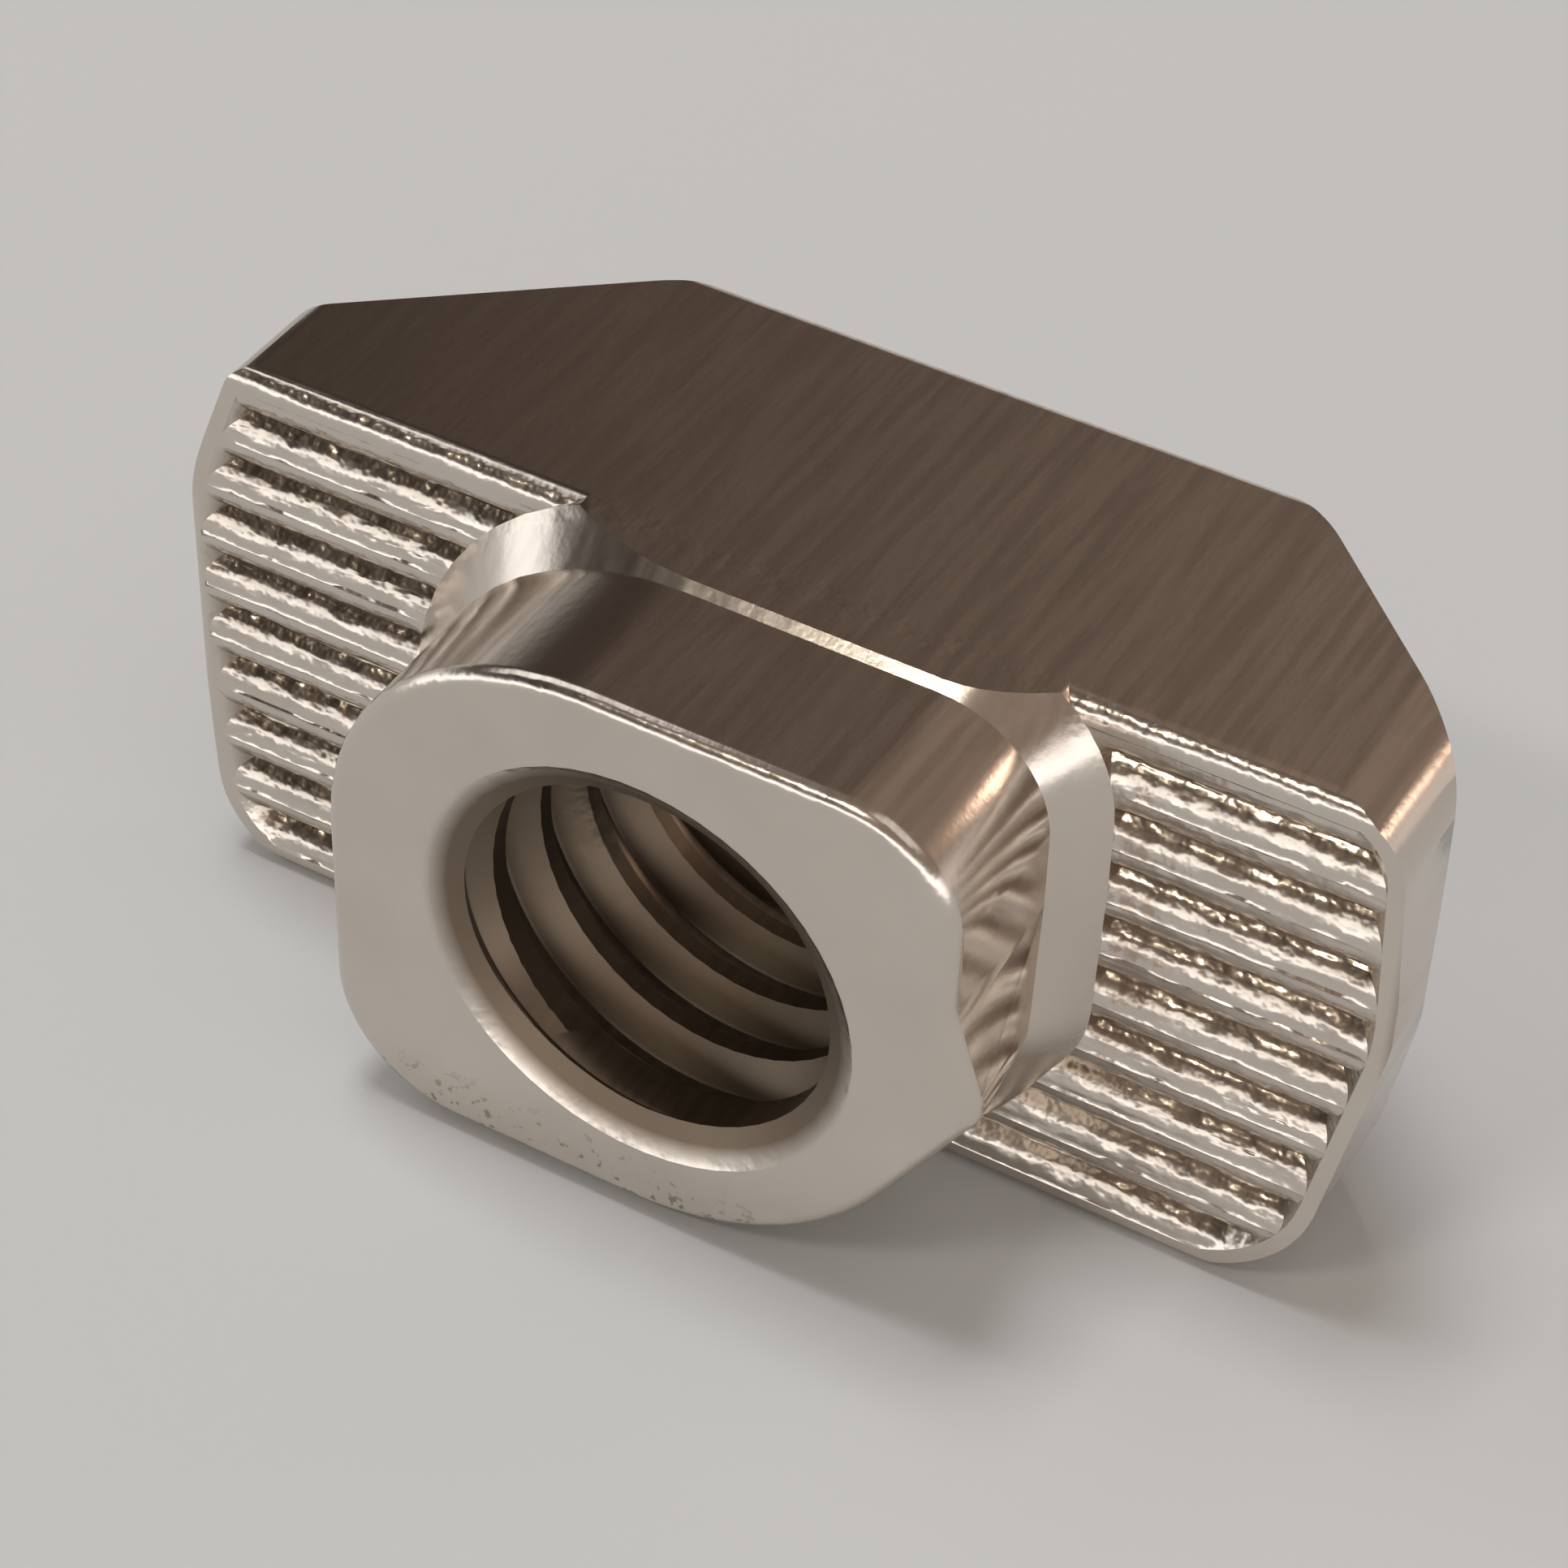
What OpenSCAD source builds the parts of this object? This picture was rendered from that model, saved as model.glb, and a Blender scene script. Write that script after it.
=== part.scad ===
// Hammer-head nut for a T-slot rail, formed as one solid piece of plated steel.
// The screw axis runs along Y and the neck points to -Y. The head lies along X,
// and the nut rests on one of its long sides, with Z up. The origin is on the
// screw axis, in the plane of the serrated shoulders.
// Turned a quarter to the right, the head locks behind the lips of the slot.

/* [Head] */
// Width of the head, which drops in through the mouth of the slot
head_width = 8; // [7.8:0.1:8.2]
// Thickness of the head, from the shoulders to the flat on the back
head_depth = 4.68; // [4.2:0.01:5.4]
// Distance from the screw axis to the right end
right_reach = 8.2; // [8:0.05:8.3]
// Distance from the screw axis to the left end
left_reach = 8.2; // [8:0.05:8.3]
// Height of the right end, from the shoulders to its bevel
right_end = 1.3; // [1:0.05:1.8]
// Height of the left end, from the shoulders to its bevel
left_end = 0.8; // [0.6:0.05:1.8]
// Distance from the screw axis to the right edge of the flat on the back
back_right = 4.7; // [4:0.05:5]
// Distance from the screw axis to the left edge of the flat on the back
back_left = 3.45; // [3.2:0.05:5]
// Rounding where the bevels meet the flat on the back
back_radius = 2; // [0.4:0.1:2]
// Rounding where the right end meets its bevel
right_end_radius = 1.4; // [0.4:0.1:1.6]
// Rounding where the left end meets its bevel
left_end_radius = 0.5; // [0.2:0.1:0.6]
// Rounding of the edges of the head
edge_radius = 0.25; // [0.15:0.05:0.3]

/* [Serrations] */
// Distance from one groove to the next, across the shoulders
groove_pitch = 0.82; // [0.78:0.01:0.84]
// Number of grooves across the shoulders
groove_count = 9; // [5:2:9]
// Depth of a groove
groove_depth = 0.22; // [0.1:0.01:0.28]
// Smooth land between the end of a groove and the end of the head
groove_land = 0.2; // [0.15:0.05:0.4]
// Length over which the end of a groove runs out
groove_runout = 0.25; // [0.05:0.05:0.3]

/* [Neck] */
// Height of the neck, from the shoulders to its end face
neck_height = 2.75; // [2.4:0.05:3.2]
// Distance from the screw axis to the upper flat
upper_flat = 3.9; // [3.8:0.02:3.9]
// Distance from the screw axis to the lower flat
lower_flat = 3.85; // [3.8:0.02:3.9]
// Distance from the screw axis to the short flat beside the stop corner
right_flat = 4.08; // [4:0.02:4.2]
// Distance from the screw axis to the long flat on the other side
left_flat = 4.28; // [4.2:0.02:4.34]
// Distance from the screw axis to the lip where the short flat ends at the end face
lip_reach = 4.55; // [4.4:0.05:4.7]
// Width of the flare where the neck runs out into the shoulders
flare_width = 0.5; // [0.3:0.05:0.6]
// Height of that flare
flare_height = 0.6; // [0.3:0.05:0.7]
// Rounding of the rim of the end face
rim_radius = 0.2; // [0.1:0.05:0.25]

/* [Thread] */
// Minor radius of the thread, which is the wall of the bore
bore_radius = 2.46; // [2:0.01:2.5]
// Radius of the countersinks at both ends of the bore
countersink_radius = 2.9; // [2.7:0.05:3.1]
// Depth of the countersinks
countersink_depth = 0.28; // [0.2:0.01:0.5]

/* [Hidden] */
// Facets in a full circle, and along each rounded corner of an outline
$fn = 96;
arc_steps = 12;
// How far a cutter runs past the face that it cuts
past = 1;
half_width = head_width / 2;
longest_reach = max(left_reach, right_reach);
groove_span = (groove_count - 1) * groove_pitch;
// Radius of the rounded ridges that the grooves leave between them
ridge_radius = (pow(groove_pitch / 2, 2) + pow(groove_depth, 2)) / (2 * groove_depth);

// Outlines are lists of corners, each [across, up, radius], taken anticlockwise
head_plan = [
    [right_reach - 0.2, half_width, 1],
    [0.85 - left_reach, half_width, 0.4],
    [-0.13 - left_reach, 1.45, 6.3],
    [0.3 - left_reach, -half_width, 1.35],
    [right_reach - 0.9, -half_width, 2.1],
    [right_reach, 0.7, 4]];
head_profile = [
    [-left_reach, 0, edge_radius],
    [right_reach, 0, edge_radius],
    [right_reach, right_end, right_end_radius],
    [back_right, head_depth, back_radius],
    [-back_left, head_depth, back_radius],
    [-left_reach, left_end, left_end_radius]];
head_section = [
    [0, -half_width, edge_radius],
    [head_depth, -half_width, edge_radius],
    [head_depth, half_width, edge_radius],
    [0, half_width, edge_radius]];
neck_foot = [
    [4.1, upper_flat, 1.5],
    [-left_flat, upper_flat, 3.6],
    [-left_flat, -lower_flat, 1.7],
    [2.3, -lower_flat, 3.6],
    [4.05, -0.9, 1.5],
    [4.11, 1.4, 0.8]];
neck_end = [
    [right_flat, upper_flat, 1.5],
    [-left_flat, upper_flat, 3.6],
    [-left_flat, -lower_flat, 1.7],
    [2.1, -lower_flat, 4],
    [lip_reach, 0, 0.6],
    [right_flat, 1.3, 0.8]];

function unit(v) = v / norm(v);
function cross_z(a, b) = a.x * b.y - a.y * b.x;
function flat(p) = [p.x, p.y];

// One corner turned into an arc, moved inwards by inset
function corner_arc(before, corner, after, inset) =
    let (
        arriving = unit(flat(corner) - flat(before)),
        leaving = unit(flat(after) - flat(corner)),
        turn = atan2(cross_z(arriving, leaving), arriving * leaving),
        side = sign(turn),
        to_centre = [-arriving.y, arriving.x] * side,
        start = flat(corner) - arriving * corner.z * tan(abs(turn) / 2),
        centre = start + to_centre * corner.z,
        radius = corner.z - side * inset)
    [for (i = [0 : arc_steps])
        let (a = turn * i / arc_steps)
        centre - radius * [
            to_centre.x * cos(a) - to_centre.y * sin(a),
            to_centre.x * sin(a) + to_centre.y * cos(a)]];

function rounded(corners, inset = 0) =
    let (n = len(corners))
    [for (i = [0 : n - 1])
        each corner_arc(corners[(i + n - 1) % n], corners[i], corners[(i + 1) % n], inset)];

// An outline in X and Z, extruded from one Y to another
module along_y(from, to)
    translate([0, to, 0]) rotate([90, 0, 0]) linear_extrude(to - from) children();

// An outline in X and Y, extruded over the whole width
module along_z()
    translate([0, 0, -half_width]) linear_extrude(head_width) children();

// An outline in Y and Z, extruded over the whole length
module along_x()
    rotate([90, 0, 90]) linear_extrude(2 * (longest_reach + past), center = true) children();

// A skin over rings [y, inset, share], which pass from one outline to the other.
// Both ends are closed around the Y axis, so that a hollow in an outline does no harm.
module loft_along_y(from, to, rings) {
    outlines = [for (ring = rings)
        [for (p = rounded(from * (1 - ring[2]) + to * ring[2], ring[1])) [p.x, ring[0], p.y]]];
    n = len(outlines[0]);
    last = (len(rings) - 1) * n;
    first_centre = last + n;
    last_centre = first_centre + 1;
    polyhedron(
        points = [
            for (outline = outlines) each outline,
            [0, rings[0][0], 0],
            [0, rings[len(rings) - 1][0], 0]],
        faces = [
            for (i = [0 : n - 1]) [i, (i + 1) % n, first_centre],
            for (k = [0 : len(rings) - 2], i = [0 : n - 1])
                let (a = k * n + i, b = k * n + (i + 1) % n)
                each [[a, a + n, b], [b, a + n, b + n]],
            for (i = [0 : n - 1]) [last + (i + 1) % n, last + i, last_centre]]);
}

module head() {
    intersection() {
        along_y(0, head_depth) polygon(rounded(head_plan));
        along_z() polygon(rounded(head_profile));
        along_x() polygon(rounded(head_section));
    }
}

// The space between two ridges, which are round on top
module groove() {
    half = groove_pitch / 2;
    wall = [for (i = [0 : arc_steps])
        let (z = half * (1 - i / arc_steps))
        [ridge_radius - sqrt(pow(ridge_radius, 2) - pow(half - z, 2)), z]];
    floor_side = [for (i = [arc_steps - 1 : -1 : 0]) [wall[i].x, -wall[i].y]];
    rotate([90, 0, 90]) linear_extrude(2 * (longest_reach + past), center = true)
        polygon(concat([[-past, half]], wall, floor_side, [[-past, -half]]));
}

// The area that takes grooves, drawn in towards the bottom so that their ends run out
module grooved_area() {
    hull() {
        along_y(-past, 0) polygon(rounded(head_plan, groove_land));
        along_y(0, groove_depth) polygon(rounded(head_plan, groove_land + groove_runout));
    }
}

module serrations() {
    difference() {
        intersection() {
            for (i = [0 : groove_count - 1])
                translate([0, 0, i * groove_pitch - groove_span / 2]) groove();
            grooved_area();
        }
        along_y(-2 * past, 2 * past) polygon(rounded(neck_foot, -flare_width));
    }
}

module neck() {
    rim_steps = 4;
    loft_along_y(neck_foot, neck_end, [
        [edge_radius, -flare_width, 0],
        [0, -flare_width, 0],
        [-flare_height, 0, 0],
        for (i = [0 : rim_steps])
            let (a = 90 * i / rim_steps)
            [rim_radius * (1 - sin(a)) - neck_height, rim_radius * (1 - cos(a)), 1]]);
}

module bore() {
    length = neck_height + head_depth;
    widening = countersink_radius - bore_radius;
    slope = widening / countersink_depth;
    translate([0, head_depth, 0]) rotate([90, 0, 0]) {
        translate([0, 0, -past]) cylinder(length + 2 * past, r = bore_radius);
        translate([0, 0, -past])
            cylinder(past + countersink_depth, r1 = countersink_radius + slope * past, r2 = bore_radius);
        translate([0, 0, length - countersink_depth])
            cylinder(past + countersink_depth, r1 = bore_radius, r2 = countersink_radius + slope * past);
    }
}

module hammer_nut() {
    color("silver")
        difference() {
            union() {
                difference() {
                    head();
                    serrations();
                }
                intersection() {
                    neck();
                    along_z() square(4 * longest_reach, center = true);
                }
            }
            bore();
        }
}

hammer_nut();
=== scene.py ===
import math
import bmesh
import bpy
from mathutils import Matrix, Vector


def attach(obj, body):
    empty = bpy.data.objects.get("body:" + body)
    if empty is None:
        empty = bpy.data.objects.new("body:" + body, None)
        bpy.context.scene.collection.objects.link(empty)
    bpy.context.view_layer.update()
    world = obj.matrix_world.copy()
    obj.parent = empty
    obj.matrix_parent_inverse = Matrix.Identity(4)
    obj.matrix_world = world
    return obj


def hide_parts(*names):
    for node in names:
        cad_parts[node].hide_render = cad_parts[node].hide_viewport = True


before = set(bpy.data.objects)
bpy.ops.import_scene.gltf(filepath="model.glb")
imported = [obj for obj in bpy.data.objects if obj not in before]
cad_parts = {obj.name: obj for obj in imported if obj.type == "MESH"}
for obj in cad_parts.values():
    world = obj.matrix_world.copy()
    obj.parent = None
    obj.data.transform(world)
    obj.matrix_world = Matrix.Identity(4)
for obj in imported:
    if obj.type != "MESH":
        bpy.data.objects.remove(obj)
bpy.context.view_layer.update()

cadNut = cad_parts["hammer_nut"]
mm = 0.001


def inMetres(lengths):
    return [length * mm for length in lengths]


def selectOnly(piece):
    if bpy.context.object and bpy.context.object.mode != "OBJECT":
        bpy.ops.object.mode_set(mode="OBJECT")
    bpy.ops.object.select_all(action="DESELECT")
    piece.select_set(True)
    bpy.context.view_layer.objects.active = piece


# Node trees: a value is a number, a colour or another node's output

def fill(tree, socket, value):
    if hasattr(value, "is_linked"):
        tree.links.new(value, socket)
    else:
        socket.default_value = value


def spread(tree, value, fromEnds, toEnds=(0, 1), kind="LINEAR"):
    step = tree.nodes.new("ShaderNodeMapRange")
    step.interpolation_type = kind
    names = ("Value", "From Min", "From Max", "To Min", "To Max")
    for name, number in zip(names, (value, *fromEnds, *toEnds)):
        fill(tree, step.inputs[name], number)
    return step.outputs[0]


def mixColours(tree, kind, share, first, second):
    step = tree.nodes.new("ShaderNodeMix")
    step.data_type = "RGBA"
    step.blend_type = kind
    for name, value in (("Factor", share), ("A", first), ("B", second)):
        fill(tree, step.inputs[name], value)
    return step.outputs["Result"]


def splitAxes(tree, vector):
    step = tree.nodes.new("ShaderNodeSeparateXYZ")
    tree.links.new(vector, step.inputs[0])
    return step.outputs


# Studio: a pale floor, three soft lamps, two small warm ones, and a room for the metal to reflect

studio = {
    "floorSize": 1.2,
    "floorHeight": -0.00402,  # just under the nut, which rests on its long side
    "floorColour": (0.55, 0.565, 0.575, 1),
    "floorRoughness": 0.9,
}


def buildFloor():
    place = (0, 0, studio["floorHeight"])
    bpy.ops.mesh.primitive_plane_add(size=studio["floorSize"], location=place)
    floor = bpy.context.object
    floor.name = "studio_floor"
    paint = bpy.data.materials.new("studioFloor")
    paint.use_nodes = True
    shader = paint.node_tree.nodes["Principled BSDF"]
    shader.inputs["Base Color"].default_value = studio["floorColour"]
    shader.inputs["Roughness"].default_value = studio["floorRoughness"]
    floor.data.materials.append(paint)


# Angles in degrees, with azimuth 0 in front of the neck; distances and sizes in metres
lamps = {
    "left": {
        "azimuth": -92, "elevation": 50, "distance": 0.5, "size": (0.28, 0.28),
        "watts": 0.34, "colour": (1, 1, 1), "inGloss": True},
    "right": {
        "azimuth": 75, "elevation": 62, "distance": 0.5, "size": (0.36, 0.36),
        "watts": 0.26, "colour": (1, 1, 1), "inGloss": True},
    "overhead": {  # it lights the floor, and leaves no line along the edges
        "azimuth": -100, "elevation": 82, "distance": 0.5, "size": (0.14, 0.14),
        "watts": 1.1, "colour": (1, 1, 1), "inGloss": False},
    "ceiling": {
        "azimuth": -18, "elevation": 50, "distance": 0.6, "size": (0.12, 0.05),
        "watts": 0.5, "colour": (1, 0.94, 0.82), "inGloss": True},
    "shelf": {
        "azimuth": 134, "elevation": 21, "distance": 0.6, "size": (0.08, 0.08),
        "watts": 0.1, "colour": (1, 0.72, 0.55), "inGloss": True},
}


def towards(azimuth, elevation):
    a, e = math.radians(azimuth), math.radians(elevation)
    return Vector((math.sin(a) * math.cos(e), -math.cos(a) * math.cos(e), math.sin(e)))


def buildLamps():
    for name, lamp in lamps.items():
        place = towards(lamp["azimuth"], lamp["elevation"]) * lamp["distance"]
        bpy.ops.object.light_add(type="AREA", location=place)
        light = bpy.context.object
        light.name = name + "Lamp"
        light.rotation_euler = place.to_track_quat("Z", "Y").to_euler()
        light.data.shape = "RECTANGLE"
        light.data.size, light.data.size_y = lamp["size"]
        light.data.energy = lamp["watts"]
        light.data.color = lamp["colour"]
        light.visible_glossy = lamp["inGloss"]


camera = {
    "azimuth": 28.837,
    "elevation": 42.044,
    "roll": 2.038,
    "distance": 0.05123,
    "lens": 98.74,
    "sensor": 36,
    "originAcross": -0.000359,  # where the screw axis sits, from the middle of the frame
    "originUp": -0.000620,
    "nearest": 0.001,
    "farthest": 10,
}


def buildCamera():
    backwards = towards(camera["azimuth"], camera["elevation"])
    a, roll = math.radians(camera["azimuth"]), math.radians(camera["roll"])
    across = Vector((math.cos(a), math.sin(a), 0))
    up = backwards.cross(across)
    rolledAcross = across * math.cos(roll) + up * math.sin(roll)
    rolledUp = up * math.cos(roll) - across * math.sin(roll)
    place = (backwards * camera["distance"] - rolledAcross * camera["originAcross"]
             - rolledUp * camera["originUp"])
    turn = Matrix((rolledAcross, rolledUp, backwards)).transposed().to_4x4()
    bpy.ops.object.camera_add()
    view = bpy.context.object
    view.matrix_world = Matrix.Translation(place) @ turn
    view.data.lens = camera["lens"]
    view.data.sensor_width = camera["sensor"]
    view.data.clip_start = camera["nearest"]
    view.data.clip_end = camera["farthest"]
    bpy.context.scene.camera = view


# Bright low walls, and a dim ceiling that is warmer and lighter to the right.
# Each wall has its light at two heights, which are given as a sine.
room = {
    "front": [(0.20, (1.8, 1.8, 1.8, 1)), (0.32, (0, 0, 0, 1))],
    "behind": [(0.15, (0.55, 0.54, 0.53, 1)), (0.34, (0, 0, 0, 1))],
    "frontEnds": (-0.2, 0.3),  # along Y, where one wall passes into the other
    "aboveLeft": (0.055, 0.040, 0.032, 1),
    "aboveRight": (0.28, 0.215, 0.175, 1),
    "aboveTurns": (-0.50, -0.15),  # along X, where the ceiling gets lighter
}


def buildRoom():
    world = bpy.data.worlds.new("room")
    bpy.context.scene.world = world
    world.use_nodes = True
    tree = world.node_tree
    direction = tree.nodes.new("ShaderNodeTexCoord")
    axes = splitAxes(tree, direction.outputs["Generated"])

    def wall(stops):
        ramp = tree.nodes.new("ShaderNodeValToRGB")
        for stop, (height, light) in zip(ramp.color_ramp.elements, stops):
            stop.position, stop.color = height, light
        tree.links.new(axes["Z"], ramp.inputs[0])
        return ramp.outputs[0]

    behind = spread(tree, axes["Y"], room["frontEnds"])
    walls = mixColours(tree, "MIX", behind, wall(room["front"]), wall(room["behind"]))
    right = spread(tree, axes["X"], room["aboveTurns"])
    above = mixColours(tree, "MIX", right, room["aboveLeft"], room["aboveRight"])
    sky = tree.nodes["Background"]
    tree.links.new(mixColours(tree, "ADD", 1, above, walls), sky.inputs["Color"])


# Nickel plate over cold-formed steel. Scales are per metre, with the noise's detail after them.
# Bump heights are in metres, and places on the nut in millimetres.

plate = {
    "colour": (0.71, 0.645, 0.58, 1),
    "dim": (0.62, 0.56, 0.50, 1),  # the duller patches
    "clouds": (900, 5),
    "roughness": (0.16, 0.24),
    "streakScale": (6500, 450, 6500 / 3),  # fine streaks run along Y on the long sides
    "streakDetail": 4,
    "streakHeight": 0.0000018,
    "streakTone": (0.80, 0.78, 0.77, 1),
    "streakEdges": (0.40, 0.62),  # where the noise turns from clear to dark
    "sheenEdges": (0.3, 0.7),  # and from smooth to rough
    "sideFacing": (0.6, 0.9),  # how far a face looks along Z
    "forwardFacing": (-0.5, -0.35),  # and along Y
    "specks": (9000, 3),
    "speckHeight": 0.0000015,
    "dents": (3600, 2),
    "dentHeight": 0.000022,
    "dentBands": ((-2.70, 0.08, 0.5), (0.06, 0.26, 0.35)),  # middle and reach along Y, and share
    "dentRidges": 0.9,
    "dentElsewhere": 0.06,
    "ridgeBand": (0.152, 0.148),  # middle and reach along Y
    "grooveShade": (0.58, 0.55, 0.50, 1),  # painted shade, darker down in the grooves
    "grooveDepth": (0.03, 0.15),
    "pits": (7500, 2),
    "pitTone": (0.50, 0.46, 0.38, 1),  # small pits along the lower edge of the neck's end
    "pitEdges": (0.60, 0.66),
    "pitsBelow": (-3.55, -2.9),
    "pitsAhead": -2.6,
    "boreToneAndShade": (0.29, 0.25, 0.205, 1),  # painted shade in the bore and its countersink, over the thread's own duller tone
    "boreRoughness": 0.44,
    "boreRadius": (2.82, 2.95),
    "boreFrom": (-2.76, -2.60),
}


def buildPlate():
    finish = bpy.data.materials.new("nickelPlate")
    finish.use_nodes = True
    tree = finish.node_tree
    shader = tree.nodes["Principled BSDF"]
    shader.inputs["Metallic"].default_value = 1

    def sums(operation, *values):
        step = tree.nodes.new("ShaderNodeMath")
        step.operation = operation
        for socket, value in zip(step.inputs, values):
            fill(tree, socket, value)
        return step.outputs[0]

    def grain(vector, scale, detail):
        step = tree.nodes.new("ShaderNodeTexNoise")
        step.inputs["Scale"].default_value = scale
        step.inputs["Detail"].default_value = detail
        tree.links.new(vector, step.inputs["Vector"])
        return step.outputs["Fac"]

    def bump(height, distance, strength, under=None):
        step = tree.nodes.new("ShaderNodeBump")
        step.inputs["Distance"].default_value = distance
        fill(tree, step.inputs["Strength"], strength)
        tree.links.new(height, step.inputs["Height"])
        if under is not None:
            tree.links.new(under, step.inputs["Normal"])
        return step.outputs[0]

    coords = tree.nodes.new("ShaderNodeTexCoord")
    place = coords.outputs["Object"]
    axes = splitAxes(tree, place)
    facing = splitAxes(tree, coords.outputs["Normal"])
    forward = spread(tree, facing["Y"], plate["forwardFacing"], (1, 0))
    upright = spread(tree, sums("ABSOLUTE", facing["Z"]), plate["sideFacing"])
    radius = sums("SQRT", sums("ADD", sums("POWER", axes["X"], 2), sums("POWER", axes["Z"], 2)))

    within = spread(tree, radius, inMetres(plate["boreRadius"]), (1, 0))
    inBore = sums("MULTIPLY", within, spread(tree, axes["Y"], inMetres(plate["boreFrom"])))
    onRidges = sums("MULTIPLY", sums("COMPARE", axes["Y"], *inMetres(plate["ridgeBand"])), forward)
    grooveShadeMask = sums("MULTIPLY", onRidges, spread(tree, axes["Y"], inMetres(plate["grooveDepth"])))

    stretch = tree.nodes.new("ShaderNodeMapping")
    stretch.inputs["Scale"].default_value = plate["streakScale"]
    tree.links.new(place, stretch.inputs["Vector"])
    streaks = grain(stretch.outputs[0], 1, plate["streakDetail"])
    streaked = sums("MULTIPLY", spread(tree, streaks, plate["streakEdges"]), upright)

    spots = spread(tree, grain(place, *plate["pits"]), plate["pitEdges"])
    pitted = sums("MULTIPLY", spots, spread(tree, axes["Z"], inMetres(plate["pitsBelow"]), (1, 0)))
    pitted = sums("MULTIPLY", pitted, sums("LESS_THAN", axes["Y"], plate["pitsAhead"] * mm))
    pitted = sums("MULTIPLY", pitted, forward)

    colour = mixColours(tree, "MIX", grain(place, *plate["clouds"]), plate["dim"], plate["colour"])
    colour = mixColours(tree, "MULTIPLY", streaked, colour, plate["streakTone"])
    # painted shade: the bore and its countersink are darkened in the colour, partly the thread's
    # own duller tone
    colour = mixColours(tree, "MULTIPLY", inBore, colour, plate["boreToneAndShade"])
    colour = mixColours(tree, "MULTIPLY", pitted, colour, plate["pitTone"])
    # painted shade: the colour gets darker deeper in the grooves
    colour = mixColours(tree, "MULTIPLY", grooveShadeMask, colour, plate["grooveShade"])
    tree.links.new(colour, shader.inputs["Base Color"])

    sheen = spread(tree, streaks, plate["sheenEdges"], plate["roughness"])
    dulled = spread(tree, inBore, (0, 1), (sheen, plate["boreRoughness"]))
    tree.links.new(dulled, shader.inputs["Roughness"])

    dented = sums("MULTIPLY_ADD", onRidges, plate["dentRidges"], plate["dentElsewhere"])
    for middle, reach, share in plate["dentBands"]:
        apart = sums("ABSOLUTE", sums("SUBTRACT", axes["Y"], middle * mm))
        band = spread(tree, apart, (reach * mm / 2, reach * mm), (share, 0), "SMOOTHSTEP")
        dented = sums("ADD", dented, band)
    normal = bump(streaks, plate["streakHeight"], upright)
    normal = bump(grain(place, *plate["specks"]), plate["speckHeight"], 1, normal)
    normal = bump(grain(place, *plate["dents"]), plate["dentHeight"], dented, normal)
    tree.links.new(normal, shader.inputs["Normal"])
    return finish


# The nut: the formed blank, then the marks on its ridges and its thread, in millimetres

nut = {
    "neckEnd": -2.75,
    "back": 4.68,
    "mergeWithin": 0.001,
    "flatWithin": 0.02,  # degrees between faces that become one
    "smoothUnder": 28,  # degrees between faces that are shaded as one
    "squareOn": 0.99999,  # faces as square to an axis as this stay flat
    "flatWeight": 100,
}


def copyBlank():
    blank = cadNut.copy()
    blank.data = cadNut.data.copy()
    blank.name = "hammer_head_nut"
    bpy.context.scene.collection.objects.link(blank)
    selectOnly(blank)
    bpy.ops.mesh.customdata_custom_splitnormals_clear()
    bpy.ops.object.mode_set(mode="EDIT")
    bpy.ops.mesh.select_all(action="SELECT")
    bpy.ops.mesh.remove_doubles(threshold=nut["mergeWithin"] * mm)
    bpy.ops.mesh.dissolve_limited(angle_limit=math.radians(nut["flatWithin"]))
    bpy.ops.object.mode_set(mode="OBJECT")
    return blank


ridges = {
    "spans": ((-8.2, -4.0), (3.3, 8.2)),
    "step": 0.09,  # between the cuts along each ridge
    "depth": 0.235,  # the cuts reach past the grooves' bottoms
    "halfHeight": 3.75,
    "leaning": (0.2, 0.9999),  # how far a face of a ridge looks forward
    "endwise": 0.1,  # a face that looks further along X closes a groove's end
    "moved": (0.0005, 0.215),  # crests and bottoms stay where they are
    "unevenness": 0.04,
    "grain": 0.2,
}


def leans(face):
    least, most = ridges["leaning"]
    return least < -face.normal.y < most


def roughenRidges(blank):
    depth, halfHeight = ridges["depth"] * mm, ridges["halfHeight"] * mm
    bpy.ops.object.mode_set(mode="EDIT")
    shape = bmesh.from_edit_mesh(blank.data)
    for low, high in ridges["spans"]:
        cuts = int((high - low) / ridges["step"])
        for i in range(1, cuts):
            x = (low + (high - low) * i / cuts) * mm
            for face in shape.faces:
                middle = face.calc_center_median()
                crosses = min(v.co.x for v in face.verts) < x < max(v.co.x for v in face.verts)
                onRidge = leans(face) and 0 < middle.y < depth and abs(middle.z) < halfHeight
                face.select_set(crosses and onRidge)
            bmesh.update_edit_mesh(blank.data)
            bpy.ops.mesh.bisect(plane_co=(x, 0, 0), plane_no=(1, 0, 0))
            shape = bmesh.from_edit_mesh(blank.data)
    (crest, bottom), endwise = inMetres(ridges["moved"]), ridges["endwise"]
    rows = []
    for vertex in shape.verts:
        between = crest < vertex.co.y < bottom and abs(vertex.co.z) < halfHeight
        if between and all(leans(f) and abs(f.normal.x) < endwise for f in vertex.link_faces):
            rows.append(vertex.index)
    bpy.ops.object.mode_set(mode="OBJECT")
    blank.vertex_groups.new(name="ridges").add(rows, 1, "REPLACE")
    clouds = bpy.data.textures.new("ridgeGrain", "CLOUDS")
    clouds.noise_scale = ridges["grain"] * mm
    uneven = blank.modifiers.new("ridgeGrain", "DISPLACE")
    uneven.texture = clouds
    uneven.texture_coords = "LOCAL"
    uneven.direction = "Y"
    uneven.mid_level = 0
    uneven.strength = ridges["unevenness"] * mm  # inwards, towards the back
    uneven.vertex_group = "ridges"
    bpy.ops.object.modifier_apply(modifier="ridgeGrain")


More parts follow.
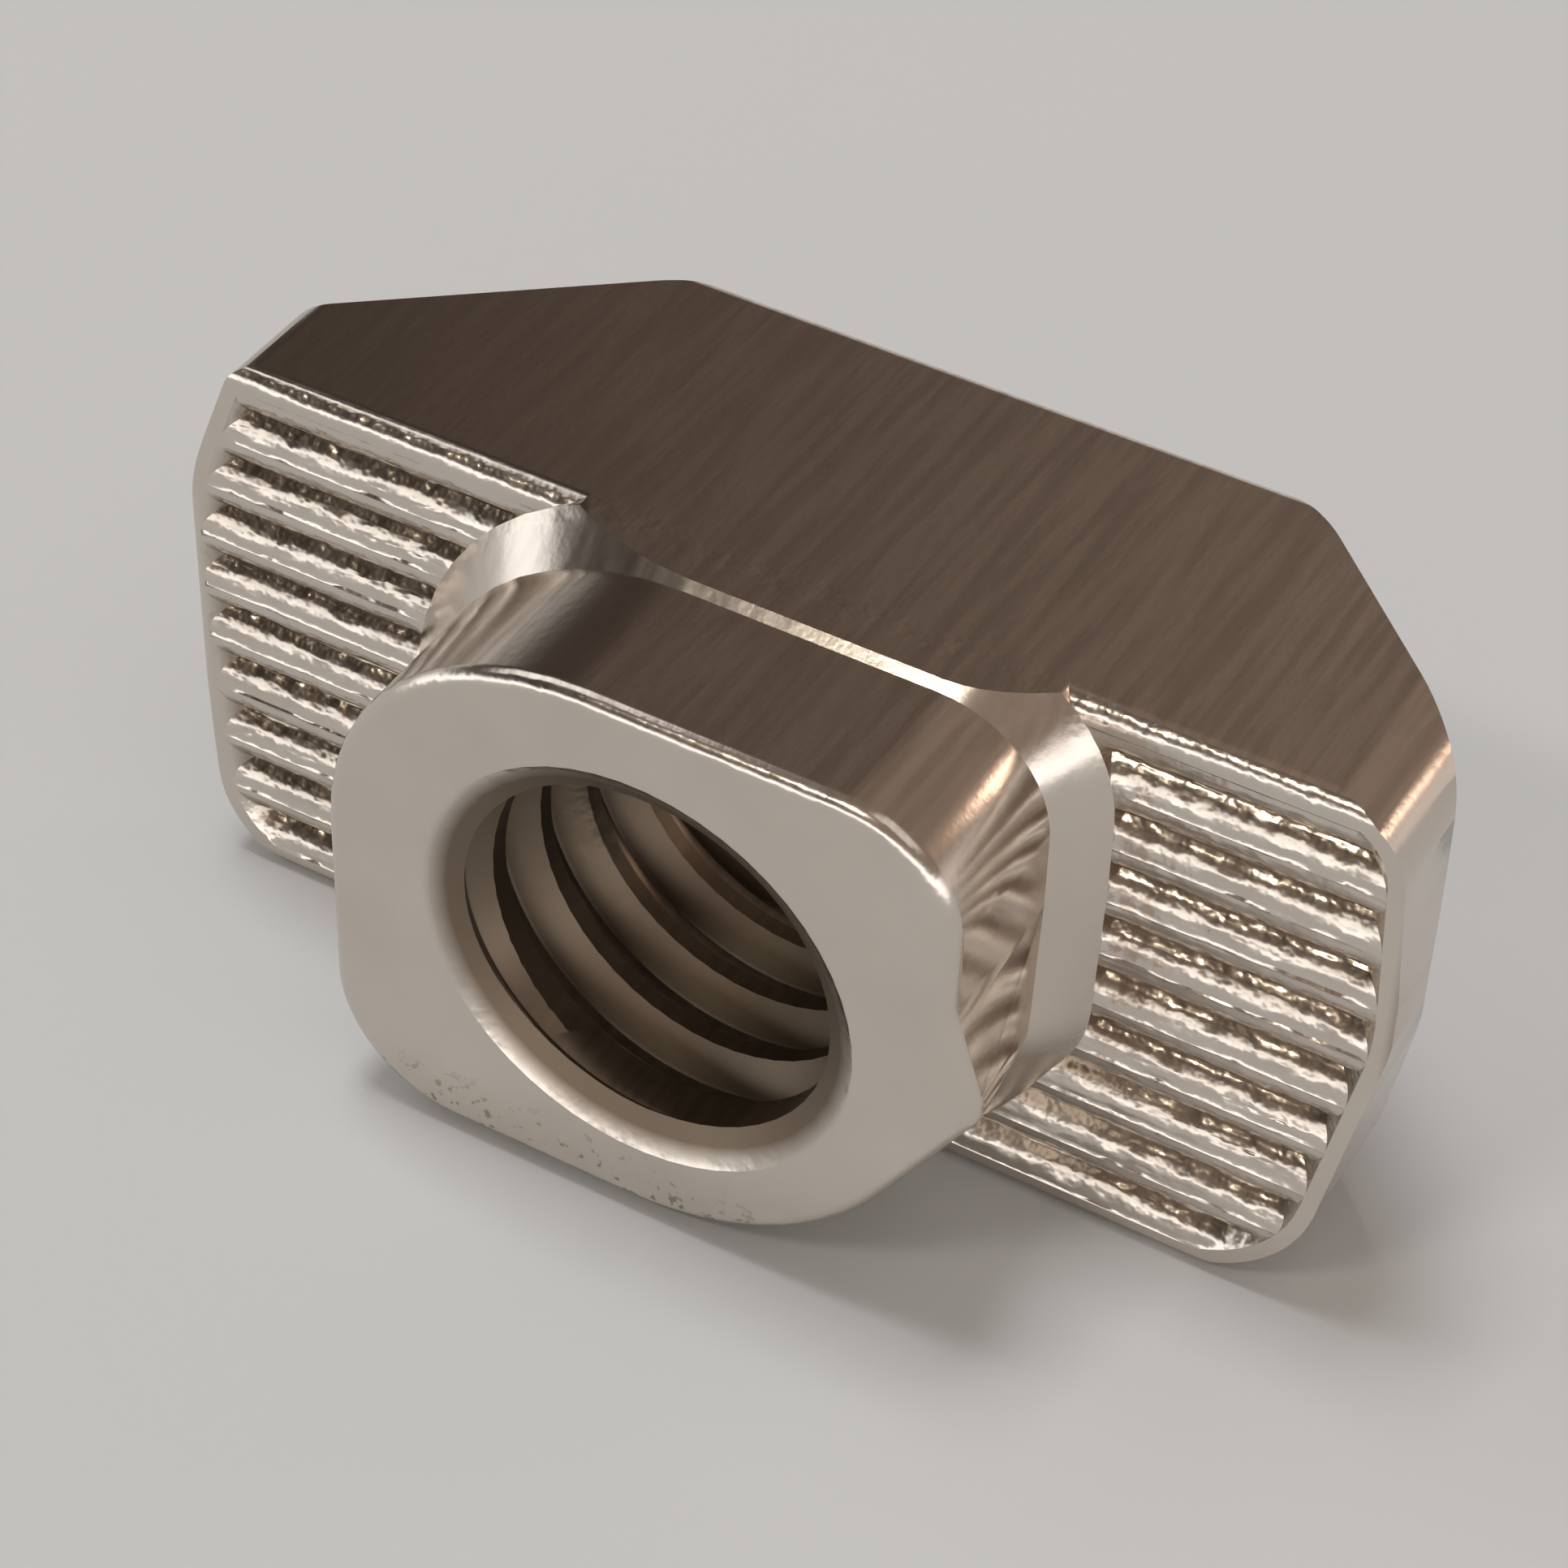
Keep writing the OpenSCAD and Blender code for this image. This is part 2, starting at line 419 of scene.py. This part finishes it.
thread = {
    "pitch": 1.0,
    "majorRadius": 2.86,
    "insideRadius": 2.34,  # the cutter's inner side, in the open bore
    "clearRadius": 2.42,  # just inside the bore's wall
    "mouth": 0.957,  # shares of the pitch, at the cutter's inner side and at the groove's bottom
    "rootFlat": 0.14,
    "start": -2.5,  # where the groove begins, inside the countersink
    "startTaper": 0.5,
    "spareTurns": 2,  # past each end of the bore
    "stepsPerTurn": 96,
}


# A ring of edges with the groove's section, which the screw modifier winds around the Y axis
def drawThreadCutter():
    inside, outside, pitch = thread["insideRadius"], thread["majorRadius"], thread["pitch"]
    middle, start = (inside + outside) / 2, nut["neckEnd"] - thread["spareTurns"] * pitch
    bpy.ops.object.select_all(action="DESELECT")
    bpy.ops.mesh.primitive_plane_add(size=mm)
    cutter = bpy.context.object
    cutter.name = "threadCutter"
    bpy.ops.object.mode_set(mode="EDIT")
    bpy.ops.mesh.delete(type="ONLY_FACE")
    bpy.ops.mesh.select_all(action="SELECT")
    bpy.ops.transform.resize(value=(outside - inside, pitch * thread["mouth"], 1))
    bpy.ops.transform.translate(value=(middle * mm, start * mm, 0))
    shape = bmesh.from_edit_mesh(cutter.data)
    for vertex in shape.verts:
        vertex.select_set(vertex.co.x > middle * mm)
    shape.select_flush_mode()
    bmesh.update_edit_mesh(cutter.data)
    bpy.ops.transform.resize(value=(1, thread["rootFlat"] / thread["mouth"], 1))
    bpy.ops.object.mode_set(mode="OBJECT")
    return cutter


def windThreadCutter(cutter):
    turns = math.ceil((nut["back"] - nut["neckEnd"]) / thread["pitch"])
    screw = cutter.modifiers.new("helix", "SCREW")
    screw.axis = "Y"
    screw.angle = math.tau
    screw.screw_offset = thread["pitch"] * mm
    screw.iterations = turns + 2 * thread["spareTurns"]
    screw.steps = screw.render_steps = thread["stepsPerTurn"]
    bpy.ops.object.modifier_apply(modifier="helix")
    clear, full = thread["clearRadius"], thread["majorRadius"]
    for vertex in cutter.data.vertices:  # the groove grows from nothing inside the countersink
        radius = math.hypot(vertex.co.x, vertex.co.z) / mm
        share = min(max((vertex.co.y / mm - thread["start"]) / thread["startTaper"], 0), 1)
        shrink = min(clear + (full - clear) * share, radius) / radius
        vertex.co.x *= shrink
        vertex.co.z *= shrink
    bpy.ops.object.mode_set(mode="EDIT")
    bpy.ops.mesh.select_all(action="DESELECT")
    bpy.ops.mesh.select_non_manifold()
    bpy.ops.mesh.fill_holes(sides=4)  # both ends of the helix
    bpy.ops.mesh.select_all(action="SELECT")
    bpy.ops.mesh.normals_make_consistent(inside=False)
    bpy.ops.object.mode_set(mode="OBJECT")


def cutThread(blank):
    cutter = drawThreadCutter()
    windThreadCutter(cutter)
    selectOnly(blank)
    cut = blank.modifiers.new("thread", "BOOLEAN")
    cut.operation = "DIFFERENCE"
    cut.solver = "EXACT"
    cut.object = cutter
    bpy.ops.object.modifier_apply(modifier="thread")
    bpy.data.objects.remove(cutter)


# Flats that lie square to an axis keep flat shading right up to their rounded edges
def keepFlatsFlat(blank):
    bpy.ops.object.mode_set(mode="EDIT")
    bpy.ops.mesh.select_all(action="DESELECT")
    shape = bmesh.from_edit_mesh(blank.data)
    for face in shape.faces:
        face.select_set(max(abs(c) for c in face.normal) > nut["squareOn"])
    bmesh.update_edit_mesh(blank.data)
    bpy.ops.mesh.mod_weighted_strength(set=True, face_strength="STRONG")
    bpy.ops.object.mode_set(mode="OBJECT")
    weigh = blank.modifiers.new("flatFaces", "WEIGHTED_NORMAL")
    weigh.use_face_influence = True
    weigh.keep_sharp = True
    weigh.weight = nut["flatWeight"]
    bpy.ops.object.modifier_apply(modifier="flatFaces")


def buildNut():
    blank = copyBlank()
    print("blank", len(blank.data.polygons))
    roughenRidges(blank)
    print("ridges cut", len(blank.data.polygons))
    cutThread(blank)
    print("thread cut", len(blank.data.polygons))
    selectOnly(blank)
    bpy.ops.object.shade_smooth_by_angle(angle=math.radians(nut["smoothUnder"]))
    keepFlatsFlat(blank)
    blank.data.materials.clear()
    blank.data.materials.append(buildPlate())
    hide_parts("hammer_nut")
    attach(blank, "root")


bpy.context.scene.view_settings.view_transform = "Standard"
buildFloor()
buildLamps()
buildCamera()
buildRoom()
print("studio ready")
buildNut()
print("nut ready")
